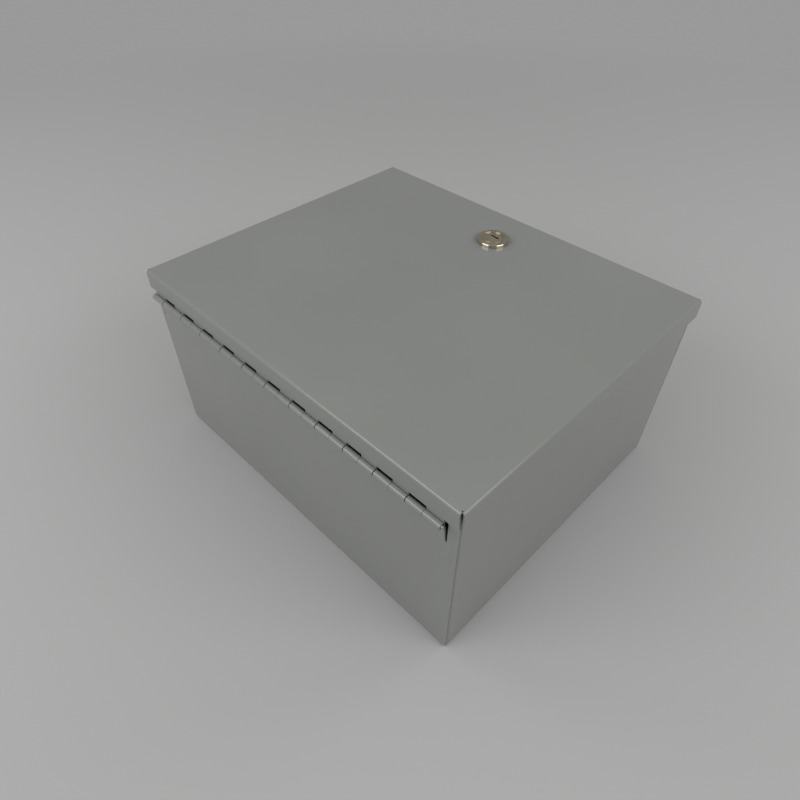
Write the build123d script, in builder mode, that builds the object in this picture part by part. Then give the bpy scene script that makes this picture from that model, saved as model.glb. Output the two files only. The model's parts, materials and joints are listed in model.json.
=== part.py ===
from build123d import *
import os
from math import acos, asin, atan2, cos, degrees, radians, sin, sqrt

# Lockable sheet-steel wall box with a hinged lid, lying on its back.
# Origin at the centre of the back's outer face, +Z out of the back,
# X along the hinge, hinge side at -Y, lock side at +Y. Millimetres.

# Body: a back with four walls folded up from one sheet. The side walls turn in at
# the corners, as tabs welded to the inside of the hinge-side and lock-side walls.
body_length = 304.8
body_width = 254.0
body_depth = 152.4
sheet = 1.2
bend_inner = 1.2
body_end_foot = 0.6
body_end_rim = 0.3
body_relief_radius = 1.1
tab_width = 14.0
tab_lip = 4.4
tab_foot_gap = 0.6
tab_slit_gap = 3.0

# Lid: a shallow pan, turned over the body
lid_flange = 14.4
lid_seat_gap = 0.6
lid_side_gap = 1.5
lid_hinge_gap = 1.1
lid_lock_gap = 1.0
lid_long_seam_foot = 1.1
lid_short_seam_foot = 0.7
lid_seam_rim = 0.2
lid_relief_radius = 0.45

# Hinge: knuckles rolled from both sheets around one pin
pin_diameter = 2.38
pin_clearance = 0.06
pin_proud = 0.8
pin_end_chamfer = 0.4
knuckle_pitch = 12.53
knuckle_gap = 0.45
lid_play = 0.2
hinge_margin_left = 6.3
hinge_margin_right = 8.5
hinge_drop = 18.8
hinge_turning_gap = 0.55
roll_tip_gap = 0.2
slit_width = 1.2
slit_depth = 34.2

# Four holes in the back, for fixing the box to a wall or a pole bracket
mount_hole_diameter = 7.9
mount_inset = 19.05

# Panel inside, on four welded studs
panel_margin = 31.75
panel_sheet = 1.9
panel_corner = 6.0
panel_stud_inset = 12.7
stud_diameter = 6.35
stud_length = 20.0
stud_chamfer = 0.6
spacer_diameter = 12.7
spacer_height = 9.5
washer_diameter = 15.9
washer_thickness = 1.2
nut_across_flats = 11.1
nut_thickness = 5.6
nut_chamfer = 0.5
hole_clearance = 0.4
thread_clearance = 0.05

# Earth stud on the back, beside the panel
earth_inset = 15.4
earth_stud_diameter = 6.0
earth_stud_length = 15.0
earth_washer_diameter = 14.0
earth_nut_flats = 10.0
earth_nut_thickness = 5.0

# Lock: housing and plug, through the lid
lock_inset = 42.0
lock_face_diameter = 25.4
lock_face_height = 3.0
lock_rim_round = 1.3
lock_ring_width = 1.6
lock_ring_depth = 0.5
lock_body_diameter = 19.0
lock_body_flats = 16.0
lock_body_length = 17.0
lock_hole_clearance = 0.15
plug_head_diameter = 15.0
plug_head_height = 1.8
plug_head_sink = 0.3
plug_diameter = 12.0
plug_clearance = 0.05
keyway_length = 8.6
keyway_width = 1.7
keyway_depth = 11.0
keyway_ward = 0.4
keyway_offset = 2.0
keyway_turn = -8.0
lock_washer_diameter = 25.0
lock_washer_thickness = 0.8
lock_nut_flats = 23.8
lock_nut_thickness = 3.2

# Cam on the plug's square tail
tail_width = 7.0
tail_clearance = 0.05
stop_gap = 0.3
stop_thickness = 0.9
stop_diameter = 17.0
stop_tab_reach = 1.6
cam_thickness = 2.0
cam_width = 16.0
cam_tip_gap = 4.1
cam_tip_width = 11.0
cam_washer_diameter = 12.0
cam_washer_thickness = 0.8
cam_screw_diameter = 4.0
cam_screw_length = 9.0
cam_screw_head = 8.4
cam_screw_head_height = 2.8
cam_screw_slot = 1.1

# Strike that the cam goes under
strike_length = 30.0
strike_sheet = 1.5
strike_reach = 14.0
strike_leg = 18.0
strike_gap = 0.5

# Sizes that follow
bend_outer = bend_inner + sheet
lid_top = body_depth + lid_seat_gap + sheet
lid_under = lid_top - sheet
lid_length = body_length + 2 * (lid_side_gap + sheet)
hinge_wall = -body_width / 2
hinge_flange = hinge_wall - lid_hinge_gap - sheet
lock_flange = body_width / 2 + lid_lock_gap + sheet
lid_width = lock_flange - hinge_flange
lid_middle = (lock_flange + hinge_flange) / 2
tab_bend_x = body_length / 2 - bend_outer
tab_bend_y = body_width / 2 - sheet - bend_outer
tab_lip_x = body_length / 2 - tab_lip

bore_radius = pin_diameter / 2 + pin_clearance
knuckle_radius = bore_radius + sheet
axis_y = hinge_flange + sheet - knuckle_radius
axis_z = lid_top - hinge_drop
turning_radius = knuckle_radius + hinge_turning_gap
hinge_left = hinge_margin_left - body_length / 2
hinge_right = body_length / 2 - hinge_margin_right
hinge_length = hinge_right - hinge_left
knuckle_count = int(hinge_length / knuckle_pitch)
knuckle_ends = [hinge_right - i * knuckle_pitch for i in range(knuckle_count)] + [hinge_left]

strip_foot_z = body_depth - slit_depth
strip_foot_y = hinge_wall + sheet
foot_to_axis = sqrt((strip_foot_y - axis_y) ** 2 + (axis_z - strip_foot_z) ** 2)
strip_lean = degrees(atan2(strip_foot_y - axis_y, axis_z - strip_foot_z) - asin(knuckle_radius / foot_to_axis))
mouth_angle = degrees(acos(bore_radius / knuckle_radius)) + degrees(roll_tip_gap / bore_radius)

mount_spacing_x = body_length - 2 * mount_inset
mount_spacing_y = body_width - 2 * mount_inset
panel_length = body_length - 2 * panel_margin
panel_width = body_width - 2 * panel_margin
panel_stud_spacing_x = panel_length - 2 * panel_stud_inset
panel_stud_spacing_y = panel_width - 2 * panel_stud_inset
panel_under = sheet + spacer_height
panel_top = panel_under + panel_sheet
earth_x = body_length / 2 - earth_inset
earth_y = 0
lock_y = lock_flange - lock_inset
lock_under = lid_top - lock_body_length
stop_top = lock_under - stop_gap
cam_top = stop_top - stop_thickness
cam_under = cam_top - cam_thickness
cam_washer_under = cam_under - cam_washer_thickness
strike_under = cam_top + strike_gap
strike_wall = body_width / 2 - sheet
cam_reach = strike_wall - strike_sheet - cam_tip_gap - lock_y


def folded_pan(base, length, width, height, long_ends, short_ends, relief_radius):
    """One pan: a sheet with four walls folded up from a plane.

    The long walls run along the plane's X and the short ones across it. Their ends give
    how far each wall's raw ends stand in from the corners, at its foot and at its rim.
    """
    with BuildPart() as pan:
        with BuildSketch(base):
            Rectangle(length - 2 * bend_outer, width - 2 * bend_outer)
        extrude(amount=sheet)
        for turn in (0, 90, 180, 270):
            run, reach, ends = (width, length, short_ends) if turn % 180 else (length, width, long_ends)
            side = base.rotated((0, 0, turn))
            foot = run / 2 - ends[0]
            rim = run / 2 - ends[1]
            with BuildSketch(Plane(origin=side.origin, x_dir=side.y_dir, z_dir=side.x_dir)):
                with Locations((reach / 2 - bend_outer, bend_outer)):
                    Circle(bend_outer)
                    Circle(bend_inner, mode=Mode.SUBTRACT)
                    Rectangle(bend_outer, bend_outer, align=(Align.MIN, Align.MAX), mode=Mode.INTERSECT)
            extrude(amount=foot, both=True)
            outside = Plane(origin=side.origin + side.y_dir * (reach / 2), x_dir=side.x_dir, z_dir=-side.y_dir)
            with BuildSketch(outside):
                Polygon((-foot, bend_outer), (foot, bend_outer), (rim, height), (-rim, height), align=None)
            extrude(amount=sheet)
        with BuildSketch(base):
            with GridLocations(length - 2 * bend_outer, width - 2 * bend_outer, 2, 2):
                Circle(relief_radius)
        extrude(amount=bend_outer, mode=Mode.SUBTRACT)
    return pan.part


def rolled_eye(tangent_angle, tip_angle):
    """Section of one knuckle: a ring, open between its root and its tip."""
    reach = 2 * knuckle_radius
    middle = (tangent_angle + tip_angle) / 2
    mouth = [(reach * cos(radians(a)), reach * sin(radians(a))) for a in (tangent_angle, middle, tip_angle)]
    with BuildSketch() as eye:
        with Locations((axis_y, axis_z)):
            Circle(knuckle_radius)
            Circle(bore_radius, mode=Mode.SUBTRACT)
            Polygon((0, 0), *mouth, align=None, mode=Mode.SUBTRACT)
    return eye.sketch


def strip_section(height):
    """Section of the strip that leans out from the body's wall to the knuckles, height up its slope."""
    lean = radians(strip_lean)
    inner = Vector(strip_foot_y - height * sin(lean), strip_foot_z + height * cos(lean))
    outer = inner - Vector(cos(lean), sin(lean)) * sheet
    with BuildSketch() as strip:
        Polygon((strip_foot_y, strip_foot_z), (hinge_wall, strip_foot_z), (outer.X, outer.Y),
                (inner.X, inner.Y), align=None)
    return strip.sketch


def knuckle_run(index):
    """Left and right end of one knuckle, counted from the right end of the hinge."""
    right = knuckle_ends[index] - (knuckle_gap / 2 if index > 0 else 0)
    left = knuckle_ends[index + 1] + (knuckle_gap / 2 if index < knuckle_count - 1 else 0)
    return left, right


root_height = sqrt(foot_to_axis ** 2 - knuckle_radius ** 2)
notch_height = root_height - turning_radius
low_strip = strip_section(notch_height)
high_strip = strip_section(root_height)
body_eye = rolled_eye(strip_lean, strip_lean - mouth_angle)
lid_eye = rolled_eye(0, mouth_angle)

# Body
turn_in = sheet + bend_outer
body_pan = folded_pan(Plane.XY, body_length, body_width, body_depth, (body_end_foot, body_end_rim),
                      (turn_in, turn_in), body_relief_radius)
with BuildPart() as body_shell:
    add(body_pan)
    # corner bends of the side walls, each with a lip that lies on the next wall
    with BuildSketch(Plane.XY.offset(bend_outer + tab_foot_gap)):
        with Locations((tab_bend_x, tab_bend_y)):
            Circle(bend_outer)
            Circle(bend_inner, mode=Mode.SUBTRACT)
            Rectangle(bend_outer, bend_outer, align=(Align.MIN, Align.MIN), mode=Mode.INTERSECT)
        with Locations((tab_bend_x, tab_bend_y + bend_outer)):
            Rectangle(tab_lip - bend_outer, sheet, align=(Align.MAX, Align.MAX))
        mirror(about=Plane.XZ)
        mirror(about=Plane.YZ)
    extrude(amount=body_depth - bend_outer - tab_foot_gap)
    # the rest of each tab, up to below the slits
    with BuildSketch(Plane.XY.offset(bend_outer + tab_foot_gap)):
        with Locations((tab_lip_x, tab_bend_y + bend_outer)):
            Rectangle(tab_width - tab_lip, sheet, align=(Align.MAX, Align.MAX))
        mirror(about=Plane.XZ)
        mirror(about=Plane.YZ)
    extrude(amount=strip_foot_z - tab_slit_gap - bend_outer - tab_foot_gap)
    # opening in the hinge-side wall that the hinge strip stands in, a slit at each end
    with BuildSketch(Plane.XZ.offset(-hinge_wall)):
        with Locations(((hinge_left + hinge_right) / 2, body_depth)):
            Rectangle(hinge_length + 2 * slit_width, slit_depth, align=(Align.CENTER, Align.MAX))
    extrude(amount=-sheet, mode=Mode.SUBTRACT)
    with BuildSketch(Plane.YZ.offset(hinge_left)):
        add(low_strip)
    extrude(amount=hinge_length)
    for i in range(1, knuckle_count, 2):
        left, right = knuckle_run(i)
        with BuildSketch(Plane.YZ.offset(left)):
            add(high_strip)
            add(body_eye)
        extrude(amount=right - left)
    # holes for the fixings behind
    with BuildSketch(Plane.XY):
        with GridLocations(mount_spacing_x, mount_spacing_y, 2, 2):
            Circle(mount_hole_diameter / 2)
    extrude(amount=sheet, mode=Mode.SUBTRACT)
body_shell.part.label = "body_shell"

# Lid
lid_base = Plane(origin=(0, lid_middle, lid_top), x_dir=(1, 0, 0), z_dir=(0, 0, -1))
turned_pan = folded_pan(lid_base, lid_length, lid_width, lid_flange,
                        (sheet + lid_long_seam_foot, sheet + lid_seam_rim),
                        (sheet + lid_short_seam_foot, sheet + lid_seam_rim), lid_relief_radius)
with BuildPart() as lid_pan:
    add(turned_pan)
    for i in range(0, knuckle_count, 2):
        left, right = knuckle_run(i)
        with BuildSketch(Plane.YZ.offset(left - lid_play)):
            with Locations((hinge_flange, axis_z)):
                Rectangle(sheet, hinge_drop - lid_flange, align=(Align.MIN, Align.MIN))
            add(lid_eye)
        extrude(amount=right - left)
    # hole for the lock, with two flats so that the housing can't turn
    with BuildSketch(Plane.XY.offset(lid_under)):
        with Locations((0, lock_y)):
            Circle(lock_body_diameter / 2 + lock_hole_clearance)
            Rectangle(2 * lock_body_diameter, lock_body_flats + 2 * lock_hole_clearance, mode=Mode.INTERSECT)
    extrude(amount=sheet, mode=Mode.SUBTRACT)
lid_pan.part.label = "lid_pan"

# Hinge pin
with BuildPart() as hinge_pin:
    with BuildSketch(Plane.YZ.offset(hinge_left - pin_proud)):
        with Locations((axis_y, axis_z)):
            Circle(pin_diameter / 2)
    extrude(amount=hinge_length + 2 * pin_proud)
    chamfer(hinge_pin.edges().filter_by(GeomType.CIRCLE), pin_end_chamfer)
hinge_pin.part.label = "hinge_pin"


panel_places = [(x, y) for x in (-panel_stud_spacing_x / 2, panel_stud_spacing_x / 2)
                for y in (-panel_stud_spacing_y / 2, panel_stud_spacing_y / 2)]
panel_stud_bore = stud_diameter / 2 + thread_clearance

# Panel studs, welded to the inside of the back
with BuildPart() as panel_studs:
    with BuildSketch(Plane.XY.offset(sheet)):
        with Locations(*panel_places):
            Circle(stud_diameter / 2)
    extrude(amount=stud_length)
    chamfer(panel_studs.edges().group_by(Axis.Z)[-1], stud_chamfer)
panel_studs.part.label = "panel_studs"

# Spacers that hold the panel off the back
with BuildPart() as panel_spacers:
    with BuildSketch(Plane.XY.offset(sheet)):
        with Locations(*panel_places):
            Circle(spacer_diameter / 2)
            Circle(panel_stud_bore, mode=Mode.SUBTRACT)
    extrude(amount=spacer_height)
panel_spacers.part.label = "panel_spacers"

# Back panel
with BuildPart() as back_panel:
    with BuildSketch(Plane.XY.offset(panel_under)):
        RectangleRounded(panel_length, panel_width, panel_corner)
        with Locations(*panel_places):
            Circle(stud_diameter / 2 + hole_clearance, mode=Mode.SUBTRACT)
    extrude(amount=panel_sheet)
back_panel.part.label = "back_panel"

# Panel washers and nuts
with BuildPart() as panel_washers:
    with BuildSketch(Plane.XY.offset(panel_top)):
        with Locations(*panel_places):
            Circle(washer_diameter / 2)
            Circle(panel_stud_bore, mode=Mode.SUBTRACT)
    extrude(amount=washer_thickness)
panel_washers.part.label = "panel_washers"

with BuildPart() as panel_nuts:
    with BuildSketch(Plane.XY.offset(panel_top + washer_thickness)):
        with Locations(*panel_places):
            RegularPolygon(nut_across_flats / 2, 6, major_radius=False)
            Circle(panel_stud_bore, mode=Mode.SUBTRACT)
    extrude(amount=nut_thickness)
    chamfer(panel_nuts.edges().group_by(Axis.Z)[-1].filter_by(GeomType.LINE), nut_chamfer)
panel_nuts.part.label = "panel_nuts"

# Earth stud, washer and nut
with BuildPart() as earth_stud:
    with BuildSketch(Plane.XY.offset(sheet)):
        with Locations((earth_x, earth_y)):
            Circle(earth_stud_diameter / 2)
    extrude(amount=earth_stud_length)
    chamfer(earth_stud.edges().group_by(Axis.Z)[-1], stud_chamfer)
earth_stud.part.label = "earth_stud"

with BuildPart() as earth_washer:
    with BuildSketch(Plane.XY.offset(sheet)):
        with Locations((earth_x, earth_y)):
            Circle(earth_washer_diameter / 2)
            Circle(earth_stud_diameter / 2 + thread_clearance, mode=Mode.SUBTRACT)
    extrude(amount=washer_thickness)
earth_washer.part.label = "earth_washer"

with BuildPart() as earth_nut:
    with BuildSketch(Plane.XY.offset(sheet + washer_thickness)):
        with Locations((earth_x, earth_y)):
            RegularPolygon(earth_nut_flats / 2, 6, major_radius=False)
            Circle(earth_stud_diameter / 2 + thread_clearance, mode=Mode.SUBTRACT)
    extrude(amount=earth_nut_thickness)
    chamfer(earth_nut.edges().group_by(Axis.Z)[-1].filter_by(GeomType.LINE), nut_chamfer)
earth_nut.part.label = "earth_nut"

# Strike, an angle welded inside the lock-side wall
with BuildPart() as strike_bracket:
    with BuildSketch(Plane.YZ.offset(-strike_length / 2)):
        with Locations((strike_wall, strike_under + strike_sheet)):
            Rectangle(strike_reach, strike_sheet, align=(Align.MAX, Align.MAX))
            Rectangle(strike_sheet, strike_leg, align=(Align.MAX, Align.MAX))
    extrude(amount=strike_length)
    outer_bend = strike_bracket.edges().filter_by(Axis.X).sort_by(Axis.Z)[-2:].sort_by(Axis.Y)[-1]
    fillet(outer_bend, strike_sheet)
    fillet(strike_bracket.edges().filter_by(Axis.Z).sort_by(Axis.Y)[:2], 2 * strike_sheet)
strike_bracket.part.label = "strike_bracket"

lock_axis = Plane((0, lock_y, lid_top))

# Lock housing
with BuildPart() as lock_housing:
    with BuildSketch(lock_axis):
        Circle(lock_face_diameter / 2)
    extrude(amount=lock_face_height)
    fillet(lock_housing.edges().group_by(Axis.Z)[-1], lock_rim_round)
    with BuildSketch(lock_axis):
        Circle(lock_body_diameter / 2)
        Rectangle(2 * lock_body_diameter, lock_body_flats, mode=Mode.INTERSECT)
    extrude(amount=-lock_body_length)
    # shallow ring around the plug's seat
    with BuildSketch(lock_axis.offset(lock_face_height)):
        Circle(plug_head_diameter / 2 + lock_ring_width)
        Circle(plug_head_diameter / 2 + lock_ring_width / 2, mode=Mode.SUBTRACT)
    extrude(amount=-lock_ring_depth, mode=Mode.SUBTRACT)
    with BuildSketch(lock_axis.offset(lock_face_height)):
        Circle(plug_head_diameter / 2 + plug_clearance)
    extrude(amount=-(plug_head_sink + plug_head_height + plug_clearance), mode=Mode.SUBTRACT)
    with BuildSketch(lock_axis.offset(-lock_body_length)):
        Circle(plug_diameter / 2 + plug_clearance)
    extrude(amount=lock_body_length + lock_face_height, mode=Mode.SUBTRACT)
lock_housing.part.label = "lock_housing"

# Toothed washer and nut that clamp the housing to the lid
with BuildPart() as lock_washer:
    with BuildSketch(Plane.XY.offset(lid_under)):
        with Locations((0, lock_y)):
            Circle(lock_washer_diameter / 2)
            Circle(lock_body_diameter / 2 + thread_clearance, mode=Mode.SUBTRACT)
    extrude(amount=-lock_washer_thickness)
lock_washer.part.label = "lock_washer"

with BuildPart() as lock_nut:
    with BuildSketch(Plane.XY.offset(lid_under - lock_washer_thickness)):
        with Locations((0, lock_y)):
            RegularPolygon(lock_nut_flats / 2, 6, major_radius=False)
            Circle(lock_body_diameter / 2 + thread_clearance, mode=Mode.SUBTRACT)
    extrude(amount=-lock_nut_thickness)
    chamfer(lock_nut.edges().group_by(Axis.Z)[0].filter_by(GeomType.LINE), nut_chamfer)
lock_nut.part.label = "lock_nut"

plug_face = lid_top + lock_face_height - plug_head_sink
screw_bore = cam_screw_diameter / 2 + thread_clearance

# Plug
with BuildPart() as lock_plug:
    with BuildSketch(Plane.XY.offset(plug_face)):
        with Locations((0, lock_y)):
            Circle(plug_head_diameter / 2)
    extrude(amount=-plug_head_height)
    with BuildSketch(Plane.XY.offset(plug_face)):
        with Locations((0, lock_y)):
            Circle(plug_diameter / 2)
    extrude(amount=lock_under - plug_face)
    with BuildSketch(Plane.XY.offset(lock_under)):
        with Locations((0, lock_y)):
            Rectangle(tail_width, tail_width)
    extrude(amount=cam_under - lock_under)
    # keyway beside the middle, with a groove for the key's ward
    with BuildSketch(Plane((0, lock_y, plug_face)).rotated((0, 0, keyway_turn))):
        with Locations((0, keyway_offset)):
            SlotOverall(keyway_length, keyway_width)
        with Locations((keyway_length / 5, keyway_offset + keyway_width / 2)):
            Rectangle(keyway_width, 2 * keyway_ward)
    extrude(amount=-keyway_depth, mode=Mode.SUBTRACT)
    with BuildSketch(Plane.XY.offset(cam_under)):
        with Locations((0, lock_y)):
            Circle(screw_bore)
    extrude(amount=cam_screw_length - cam_washer_thickness, mode=Mode.SUBTRACT)
lock_plug.part.label = "lock_plug"

# Stop washer: its tab turns with the plug and limits the turn
with BuildPart() as stop_washer:
    with BuildSketch(Plane.XY.offset(cam_top)):
        with Locations((0, lock_y)):
            Circle(stop_diameter / 2)
            Rectangle(stop_diameter / 2 + stop_tab_reach, tail_width, align=(Align.MAX, Align.CENTER))
            Rectangle(tail_width + 2 * tail_clearance, tail_width + 2 * tail_clearance, mode=Mode.SUBTRACT)
    extrude(amount=stop_thickness)
stop_washer.part.label = "stop_washer"

# Cam, at rest along +X
with BuildPart() as cam_arm:
    with BuildSketch(Plane.XY.offset(cam_under)):
        with Locations((0, lock_y)):
            Circle(cam_width / 2)
            Polygon((0, -cam_width / 2), (cam_reach, -cam_tip_width / 2), (cam_reach, cam_tip_width / 2),
                    (0, cam_width / 2), align=None)
            Rectangle(tail_width + 2 * tail_clearance, tail_width + 2 * tail_clearance, mode=Mode.SUBTRACT)
    extrude(amount=cam_thickness)
    fillet(cam_arm.edges().filter_by(Axis.Z).sort_by(Axis.X)[-2:], cam_tip_width / 4)
cam_arm.part.label = "cam_arm"

# Cam washer and screw
with BuildPart() as cam_washer:
    with BuildSketch(Plane.XY.offset(cam_under)):
        with Locations((0, lock_y)):
            Circle(cam_washer_diameter / 2)
            Circle(screw_bore, mode=Mode.SUBTRACT)
    extrude(amount=-cam_washer_thickness)
cam_washer.part.label = "cam_washer"

with BuildPart() as cam_screw:
    with BuildSketch(Plane.XY.offset(cam_washer_under)):
        with Locations((0, lock_y)):
            Circle(cam_screw_head / 2)
    extrude(amount=-cam_screw_head_height)
    chamfer(cam_screw.edges().group_by(Axis.Z)[0], cam_screw_head_height / 4)
    with BuildSketch(Plane.XY.offset(cam_washer_under)):
        with Locations((0, lock_y)):
            Circle(cam_screw_diameter / 2)
    extrude(amount=cam_screw_length - tail_clearance)
    with BuildSketch(Plane.XY.offset(cam_washer_under - cam_screw_head_height)):
        with Locations((0, lock_y)):
            Rectangle(cam_screw_head, cam_screw_slot)
    extrude(amount=cam_screw_head_height / 2, mode=Mode.SUBTRACT)
cam_screw.part.label = "cam_screw"

os.makedirs("parts", exist_ok=True)
for piece in (body_shell, lid_pan, hinge_pin, strike_bracket,
              panel_studs, panel_spacers, back_panel, panel_washers, panel_nuts,
              earth_stud, earth_washer, earth_nut,
              lock_housing, lock_washer, lock_nut, lock_plug,
              stop_washer, cam_arm, cam_washer, cam_screw):
    export_step(piece.part, f"parts/{piece.part.label}.step")
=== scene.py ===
import json
from math import atan2, cos, pi, radians, sin
import bpy
import bmesh
from mathutils import Matrix, Vector


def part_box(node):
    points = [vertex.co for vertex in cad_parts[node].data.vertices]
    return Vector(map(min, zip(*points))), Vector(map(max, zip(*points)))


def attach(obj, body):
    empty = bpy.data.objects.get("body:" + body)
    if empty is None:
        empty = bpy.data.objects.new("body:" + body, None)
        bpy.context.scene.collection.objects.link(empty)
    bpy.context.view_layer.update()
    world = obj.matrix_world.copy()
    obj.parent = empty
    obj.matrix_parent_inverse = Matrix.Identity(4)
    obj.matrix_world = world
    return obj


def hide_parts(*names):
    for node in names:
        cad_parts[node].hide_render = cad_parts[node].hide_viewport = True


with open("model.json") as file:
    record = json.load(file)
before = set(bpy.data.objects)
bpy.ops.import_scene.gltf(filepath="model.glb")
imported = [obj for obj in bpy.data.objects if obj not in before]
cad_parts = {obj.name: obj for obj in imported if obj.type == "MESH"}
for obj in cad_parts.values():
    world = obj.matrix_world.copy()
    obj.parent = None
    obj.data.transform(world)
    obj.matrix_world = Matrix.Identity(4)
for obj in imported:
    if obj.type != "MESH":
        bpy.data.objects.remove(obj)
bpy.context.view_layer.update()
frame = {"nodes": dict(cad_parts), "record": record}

nodes = frame["nodes"]
scene = bpy.context.scene
scene.view_settings.view_transform = "Standard"
print("frame loaded:", len(nodes), "nodes")

# the camera stands where the photograph's did
cameraSettings = {
    "place": (0.254641, -0.274487, 0.401628),
    "right": (0.708759, 0.705434, 0.004855),
    "down": (0.494397, -0.491795, -0.716735),
    "forward": (-0.503221, 0.510393, -0.697329),
    "lens": 27.5361,
    "sensor": 36.0,
}


def makeCamera(s):
    data = bpy.data.cameras.new("boxCamera")
    data.sensor_width = s["sensor"]
    data.lens = s["lens"]
    data.clip_start = 0.01
    data.clip_end = 50
    camera = bpy.data.objects.new("boxCamera", data)
    scene.collection.objects.link(camera)
    axes = [Vector(s["right"]), -Vector(s["down"]), -Vector(s["forward"])]
    turn = Matrix([[a[i] for a in axes] for i in range(3)])
    camera.matrix_world = Matrix.Translation(s["place"]) @ turn.to_4x4()
    scene.camera = camera


makeCamera(cameraSettings)
print("camera placed")


# shader steps that the materials share
def startMaterial(name, colour, metallic, roughness):
    mat = bpy.data.materials.new(name)
    mat.use_nodes = True
    tree = mat.node_tree
    shader = tree.nodes["Principled BSDF"]
    shader.inputs["Base Color"].default_value = (*colour, 1)
    shader.inputs["Metallic"].default_value = metallic
    shader.inputs["Roughness"].default_value = roughness
    coords = tree.nodes.new("ShaderNodeTexCoord")
    return mat, tree, shader, coords.outputs["Object"]


def noise(tree, coords, scale, detail=2.0):
    node = tree.nodes.new("ShaderNodeTexNoise")
    node.inputs["Scale"].default_value = scale
    node.inputs["Detail"].default_value = detail
    tree.links.new(coords, node.inputs["Vector"])
    return node.outputs["Fac"]


def spread(tree, value, low, high, start=0.3, end=0.7):
    node = tree.nodes.new("ShaderNodeMapRange")
    node.inputs["From Min"].default_value = start
    node.inputs["From Max"].default_value = end
    node.inputs["To Min"].default_value = low
    node.inputs["To Max"].default_value = high
    tree.links.new(value, node.inputs["Value"])
    return node.outputs["Result"]


def twoTone(tree, value, first, second):
    ramp = tree.nodes.new("ShaderNodeValToRGB")
    ramp.color_ramp.elements[0].position = 0.3
    ramp.color_ramp.elements[0].color = (*first, 1)
    ramp.color_ramp.elements[1].position = 0.7
    ramp.color_ramp.elements[1].color = (*second, 1)
    tree.links.new(value, ramp.inputs["Fac"])
    return ramp.outputs["Color"]


def bump(tree, shader, value, strength, distance, under=None):
    node = tree.nodes.new("ShaderNodeBump")
    node.inputs["Strength"].default_value = strength
    node.inputs["Distance"].default_value = distance
    tree.links.new(value, node.inputs["Height"])
    if under:
        tree.links.new(under, node.inputs["Normal"])
    tree.links.new(node.outputs["Normal"], shader.inputs["Normal"])
    return node.outputs["Normal"]


def arithmetic(tree, operation, *values):
    node = tree.nodes.new("ShaderNodeMath")
    node.operation = operation
    for i, value in enumerate(values):
        if isinstance(value, (int, float)):
            node.inputs[i].default_value = value
        else:
            tree.links.new(value, node.inputs[i])
    return node.outputs[0]


powderCoat = {
    "dark": (0.195, 0.199, 0.189),
    "light": (0.207, 0.211, 0.200),
    "roughness": (0.22, 0.27),
    "patchScale": 9,
    "peelScale": 450,
    "peelStrength": 0.04,
}


def makePowderCoat(name, s):
    mat, tree, shader, coords = startMaterial(name, s["dark"], 0.0, 0.4)
    patches = noise(tree, coords, s["patchScale"], 4)
    tree.links.new(twoTone(tree, patches, s["dark"], s["light"]), shader.inputs["Base Color"])
    tree.links.new(spread(tree, noise(tree, coords, 60, 3), *s["roughness"]), shader.inputs["Roughness"])
    bump(tree, shader, noise(tree, coords, s["peelScale"], 1.5), s["peelStrength"], 0.0002)
    return mat


whiteCoat = {
    "dark": (0.70, 0.70, 0.67),
    "light": (0.76, 0.76, 0.73),
    "roughness": (0.34, 0.42),
    "patchScale": 12,
    "peelScale": 700,
    "peelStrength": 0.08,
}

platedSteel = {
    "dark": (0.42, 0.42, 0.41),
    "light": (0.56, 0.56, 0.54),
    "roughness": (0.42, 0.55),
    "grain": 1400,
}


def makePlatedSteel(name, s):
    mat, tree, shader, coords = startMaterial(name, s["dark"], 1.0, 0.35)
    tree.links.new(twoTone(tree, noise(tree, coords, 160, 5), s["dark"], s["light"]), shader.inputs["Base Color"])
    tree.links.new(spread(tree, noise(tree, coords, 500, 3), *s["roughness"]), shader.inputs["Roughness"])
    bump(tree, shader, noise(tree, coords, s["grain"], 2), 0.12, 0.0001)
    return mat


plainBrass = {
    "dark": (0.58, 0.42, 0.17),
    "light": (0.72, 0.55, 0.26),
    "roughness": (0.25, 0.4),
    "grain": 900,
}

satinNickel = {
    "dark": (0.54, 0.48, 0.35),
    "light": (0.69, 0.61, 0.455),
    "faceRoughness": (0.26, 0.36),
    "rimRoughness": 0.08,
    "rimStart": 0.0108,
    "turningPitch": 0.00022,
    "turningStrength": 0.05,
    "turningDepth": 0.00004,
    "threadPitch": 0.001,
    "threadStrength": 0.9,
    "threadDepth": 0.0004,
    "threadStart": 0.0075,
}


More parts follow.
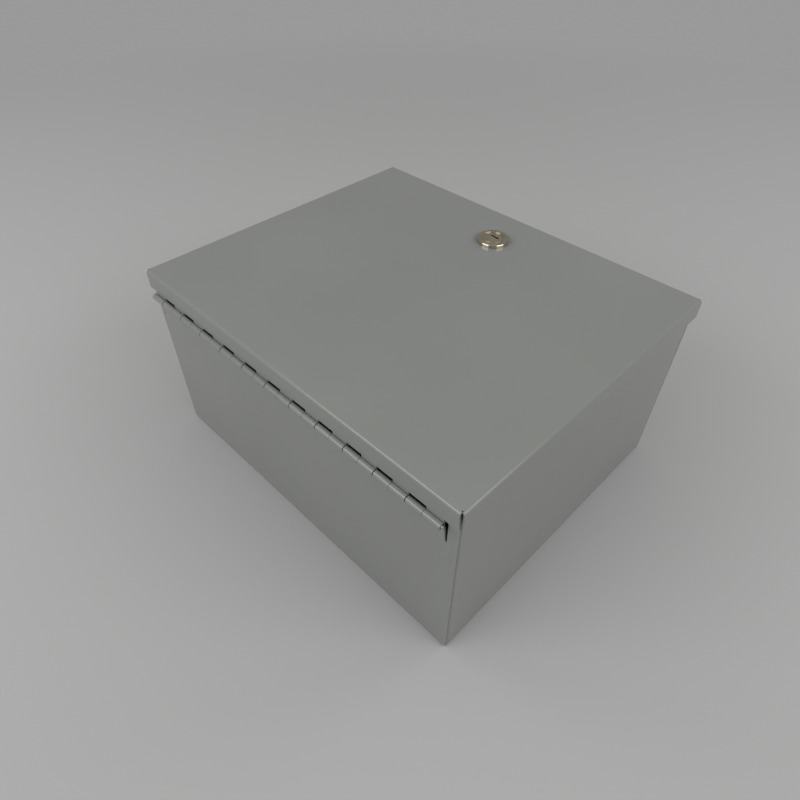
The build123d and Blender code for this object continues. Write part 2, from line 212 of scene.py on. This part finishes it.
def makeSatinNickel(name, s, centre, lidUnder):
    mat, tree, shader, coords = startMaterial(name, s["dark"], 1.0, 0.3)
    mapping = tree.nodes.new("ShaderNodeMapping")
    mapping.inputs["Location"].default_value = (-centre[0], -centre[1], 0)
    tree.links.new(coords, mapping.inputs["Vector"])
    parts = tree.nodes.new("ShaderNodeSeparateXYZ")
    tree.links.new(mapping.outputs["Vector"], parts.inputs[0])
    across = arithmetic(tree, "POWER", parts.outputs["X"], 2.0)
    along = arithmetic(tree, "POWER", parts.outputs["Y"], 2.0)
    radius = arithmetic(tree, "SQRT", arithmetic(tree, "ADD", across, along))
    tree.links.new(twoTone(tree, noise(tree, coords, 220, 4), s["dark"], s["light"]), shader.inputs["Base Color"])
    # the rim is polished and the face inside it is satin
    satin = spread(tree, noise(tree, coords, 380, 3), *s["faceRoughness"])
    rim = spread(tree, radius, 0.0, 1.0, s["rimStart"], s["rimStart"] + 0.0004)
    mix = tree.nodes.new("ShaderNodeMix")
    tree.links.new(rim, mix.inputs["Factor"])
    tree.links.new(satin, mix.inputs["A"])
    mix.inputs["B"].default_value = s["rimRoughness"]
    tree.links.new(mix.outputs["Result"], shader.inputs["Roughness"])
    # fine rings from the lathe on the face, and a thread on the part under the lid
    turned = arithmetic(tree, "SINE", arithmetic(tree, "MULTIPLY", radius, 2 * pi / s["turningPitch"]))
    first = bump(tree, shader, turned, s["turningStrength"], s["turningDepth"])
    wave = arithmetic(tree, "SINE", arithmetic(tree, "MULTIPLY", parts.outputs["Z"], 2 * pi / s["threadPitch"]))
    below = arithmetic(tree, "LESS_THAN", parts.outputs["Z"], lidUnder)
    outside = arithmetic(tree, "GREATER_THAN", radius, s["threadStart"])
    thread = arithmetic(tree, "MULTIPLY", wave, arithmetic(tree, "MULTIPLY", below, outside))
    bump(tree, shader, thread, s["threadStrength"], s["threadDepth"], first)
    return mat


lidUnder = 0.153
low, high = [Vector(c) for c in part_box("lock_plug")]
lockCentre = (low + high) / 2

greyPaint = makePowderCoat("greyPaint", powderCoat)
whitePaint = makePowderCoat("whitePaint", whiteCoat)
zincSteel = makePlatedSteel("zincSteel", platedSteel)
brass = makePlatedSteel("earthBrass", plainBrass)
nickel = makeSatinNickel("satinNickel", satinNickel, lockCentre, lidUnder)

finishes = {
    "grey_paint": greyPaint,
    "white_paint": whitePaint,
    "zinc_steel": zincSteel,
    "nickel": nickel,
    "brass": brass,
}
for entry in frame["record"]["subparts"]:
    node = nodes[entry["node"]]
    for i in range(len(node.data.materials)):
        node.data.materials[i] = finishes[entry["material_slot"]]
    if not node.data.materials:
        node.data.materials.append(finishes[entry["material_slot"]])
print("materials made")

# pieces whose sharp edges are eased, by paint, plating or tumbling
softEdges = {
    "bodySheet": {"node": "body_shell", "body": "enclosure", "slot": "grey_paint", "rounding": 0.00016},
    "lidSheet": {"node": "lid_pan", "body": "lid", "slot": "grey_paint", "rounding": 0.00016},
    "strikeAngle": {"node": "strike_bracket", "body": "enclosure", "slot": "grey_paint", "rounding": 0.00015},
    "equipmentPanel": {"node": "back_panel", "body": "enclosure", "slot": "white_paint", "rounding": 0.0002},
    "panelNuts": {"node": "panel_nuts", "body": "enclosure", "slot": "zinc_steel", "rounding": 0.00012},
    "earthNut": {"node": "earth_nut", "body": "enclosure", "slot": "brass", "rounding": 0.00012},
    "lockNut": {"node": "lock_nut", "body": "lid", "slot": "zinc_steel", "rounding": 0.00015},
    "camPlate": {"node": "cam_arm", "body": "lock", "slot": "zinc_steel", "rounding": 0.0002},
    "lockFace": {"node": "lock_housing", "body": "lid", "slot": "nickel", "rounding": 0.0001},
    "lockCore": {"node": "lock_plug", "body": "lock", "slot": "nickel", "rounding": 0.00008},
}
sheetEdges = {
    "segments": 2,
    "sharperThan": 35,  # degrees
    "mergeWithin": 1e-6,
    "flatWithin": 0.3,
    "shadingBreaks": 50,
}


def softEdged(pieceName, piece, s):
    nodeName, body, slotName = piece["node"], piece["body"], piece["slot"]
    bm = bmesh.new()
    bm.from_mesh(nodes[nodeName].data)
    bmesh.ops.remove_doubles(bm, verts=bm.verts, dist=s["mergeWithin"])
    bmesh.ops.dissolve_limit(bm, angle_limit=radians(s["flatWithin"]), verts=bm.verts, edges=bm.edges)
    cut = [e for e in bm.edges if len(e.link_faces) == 2 and e.calc_face_angle(0) > radians(s["sharperThan"])]
    bmesh.ops.bevel(bm, geom=cut, offset=piece["rounding"], offset_type="OFFSET", segments=s["segments"],
                    profile=0.5, affect="EDGES", clamp_overlap=True, material=-1)
    for face in bm.faces:
        face.smooth = True
    for edge in bm.edges:
        edge.smooth = not (len(edge.link_faces) == 2 and edge.calc_face_angle(0) > radians(s["shadingBreaks"]))
    mesh = bpy.data.meshes.new(pieceName)
    bm.to_mesh(mesh)
    bm.free()
    mesh.materials.append(finishes[slotName])
    made = bpy.data.objects.new(pieceName, mesh)
    scene.collection.objects.link(made)
    weighted = made.modifiers.new("evenShading", "WEIGHTED_NORMAL")
    weighted.keep_sharp = True
    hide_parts(nodeName)
    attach(made, body)
    print(pieceName, "made,", len(mesh.polygons), "faces")


for pieceName, piece in softEdges.items():
    softEdged(pieceName, piece, sheetEdges)

# studs with their threads: rings drawn up from the foot, then drawn in where the thread is deep
panelThread = {
    "node": "panel_studs",
    "slot": "zinc_steel",
    "radius": 0.003175,
    "pitch": 0.00127,
    "depth": 0.00055,
    "chamfer": 0.0006,
    "plainFoot": 0.0004,
    "sides": 32,
    "rowsPerPitch": 8,
}
earthThread = {
    "node": "earth_stud",
    "slot": "brass",
    "radius": 0.003,
    "pitch": 0.001,
    "depth": 0.00045,
    "chamfer": 0.0006,
    "plainFoot": 0.0004,
    "sides": 32,
    "rowsPerPitch": 8,
}


def threadRadius(angle, z, foot, top, s):
    phase = ((z - foot) / s["pitch"] - angle / (2 * pi)) % 1.0
    cut = min(1.0, max(0.0, 1.25 * (1 - abs(2 * phase - 1)) - 0.1))
    if z < foot + s["plainFoot"]:
        cut = 0
    return min(s["radius"] - s["depth"] * cut, s["radius"] - s["chamfer"] + (top - z))


def threadedStuds(pieceName, places, foot, top, s):
    bm = bmesh.new()
    step = s["pitch"] / s["rowsPerPitch"]
    heights = [foot + i * step for i in range(1, int((top - foot) / step))] + [top]
    for x, y in places:
        ring = bmesh.ops.create_circle(bm, cap_ends=True, segments=s["sides"], radius=s["radius"],
                                       matrix=Matrix.Translation((x, y, foot)))["verts"]
        stud = list(ring)
        rim = ring[0].link_faces[0].edges[:]
        for z in heights:
            grown = bmesh.ops.extrude_edge_only(bm, edges=rim)["geom"]
            ring = {v for v in grown if isinstance(v, bmesh.types.BMVert)}
            rim = [e for e in grown if isinstance(e, bmesh.types.BMEdge) and ring.issuperset(e.verts)]
            bmesh.ops.translate(bm, verts=list(ring), vec=(0, 0, z - rim[0].verts[0].co.z))
            stud += ring
        bmesh.ops.contextual_create(bm, geom=rim)
        for v in stud:
            angle = atan2(v.co.y - y, v.co.x - x)
            radius = threadRadius(angle, v.co.z, foot, top, s)
            v.co.x, v.co.y = x + radius * cos(angle), y + radius * sin(angle)
    bmesh.ops.recalc_face_normals(bm, faces=bm.faces)
    for face in bm.faces:
        face.smooth = len(face.verts) == 4
    mesh = bpy.data.meshes.new(pieceName)
    bm.to_mesh(mesh)
    bm.free()
    mesh.materials.append(finishes[s["slot"]])
    made = bpy.data.objects.new(pieceName, mesh)
    scene.collection.objects.link(made)
    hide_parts(s["node"])
    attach(made, "enclosure")
    print(pieceName, "made,", len(mesh.polygons), "faces")


low, high = [Vector(c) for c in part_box("panel_studs")]
reach = panelThread["radius"]
corners = [(x, y) for x in (low.x + reach, high.x - reach) for y in (low.y + reach, high.y - reach)]
threadedStuds("panelStuds", corners, low.z, high.z, panelThread)
low, high = [Vector(c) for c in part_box("earth_stud")]
middle = (low + high) / 2
threadedStuds("earthStud", [(middle.x, middle.y)], low.z, high.z, earthThread)

# floor and lights
stageSettings = {
    "floorColour": (0.355, 0.355, 0.352),
    "backdrop": 0.32,
    "floorFades": (0.45, 1.3),
    "skyLight": 0.465,
    "skyColour": (1.0, 1.0, 0.95),
    "boxColour": (0.96, 0.98, 1.0),
    "target": (0, 0, 0.12),
    "overhead": {"azimuth": 150, "elevation": 80, "distance": 1.8, "size": (1.2, 1.2), "power": 0.9},
    "leftBox": {"azimuth": -105, "elevation": 33, "distance": 1.4, "size": (1.1, 0.75), "power": 10.4},
    "rightBox": {"azimuth": 10, "elevation": 33, "distance": 1.4, "size": (1.1, 0.75), "power": 9.0},
    "backLeft": {"azimuth": 198, "elevation": 22, "distance": 1.5, "size": (0.9, 0.7), "power": 4.9,
                 "mirrored": False},
    "backRight": {"azimuth": 72, "elevation": 22, "distance": 1.5, "size": (0.9, 0.7), "power": 4.9,
                 "mirrored": False},
}


# the camera sees a plain backdrop, and so does whatever mirrors it
def mixWithBackdrop(tree, lit, share, output, strength, kind):
    plain = tree.nodes.new(kind)
    plain.inputs["Strength"].default_value = strength
    rays = tree.nodes.new("ShaderNodeLightPath")
    mirrored = arithmetic(tree, "MAXIMUM", rays.outputs["Is Glossy Ray"], rays.outputs["Is Transmission Ray"])
    seen = arithmetic(tree, "MAXIMUM", rays.outputs["Is Camera Ray"], mirrored)
    mix = tree.nodes.new("ShaderNodeMixShader")
    tree.links.new(arithmetic(tree, "MULTIPLY", seen, share), mix.inputs["Fac"])
    tree.links.new(lit, mix.inputs[1])
    tree.links.new(plain.outputs[0], mix.inputs[2])
    tree.links.new(mix.outputs[0], output.inputs["Surface"])


def makeFloor(s):
    bm = bmesh.new()
    bmesh.ops.create_grid(bm, x_segments=1, y_segments=1, size=4)
    mesh = bpy.data.meshes.new("floor")
    bm.to_mesh(mesh)
    bm.free()
    floor = bpy.data.objects.new("floor", mesh)
    scene.collection.objects.link(floor)
    mat, tree, shader, coords = startMaterial("paleFloor", s["floorColour"], 0.0, 0.7)
    shader.inputs["Specular IOR Level"].default_value = 0.2
    # away from the box the floor fades into the backdrop
    away = tree.nodes.new("ShaderNodeVectorMath")
    away.operation = "LENGTH"
    tree.links.new(coords, away.inputs[0])
    far = spread(tree, away.outputs["Value"], 0.0, 1.0, *s["floorFades"])
    mixWithBackdrop(tree, shader.outputs[0], far, tree.nodes["Material Output"], s["backdrop"], "ShaderNodeEmission")
    mesh.materials.append(mat)


def makeWorld(s):
    world = bpy.data.worlds.new("softSky")
    world.use_nodes = True
    scene.world = world
    tree = world.node_tree
    sky = tree.nodes["Background"]
    sky.inputs["Color"].default_value = (*s["skyColour"], 1)
    sky.inputs["Strength"].default_value = s["skyLight"]
    mixWithBackdrop(tree, sky.outputs[0], 1.0, tree.nodes["World Output"], s["backdrop"], "ShaderNodeBackground")


def makeSoftbox(name, colour, target, s):
    data = bpy.data.lights.new(name, "AREA")
    data.shape = "RECTANGLE"
    data.size, data.size_y = s["size"]
    data.energy = s["power"]
    data.color = colour
    light = bpy.data.objects.new(name, data)
    scene.collection.objects.link(light)
    light.visible_glossy = s.get("mirrored", True)  # the back two only fill in
    turn, rise = radians(s["azimuth"]), radians(s["elevation"])
    away = Vector((cos(rise) * cos(turn), cos(rise) * sin(turn), sin(rise)))
    place = Vector(target) + away * s["distance"]
    light.matrix_world = Matrix.Translation(place) @ (-away).to_track_quat("-Z", "Y").to_matrix().to_4x4()


makeFloor(stageSettings)
makeWorld(stageSettings)
for name in ("overhead", "leftBox", "rightBox", "backLeft", "backRight"):
    makeSoftbox(name, stageSettings["boxColour"], stageSettings["target"], stageSettings[name])
print("stage made")
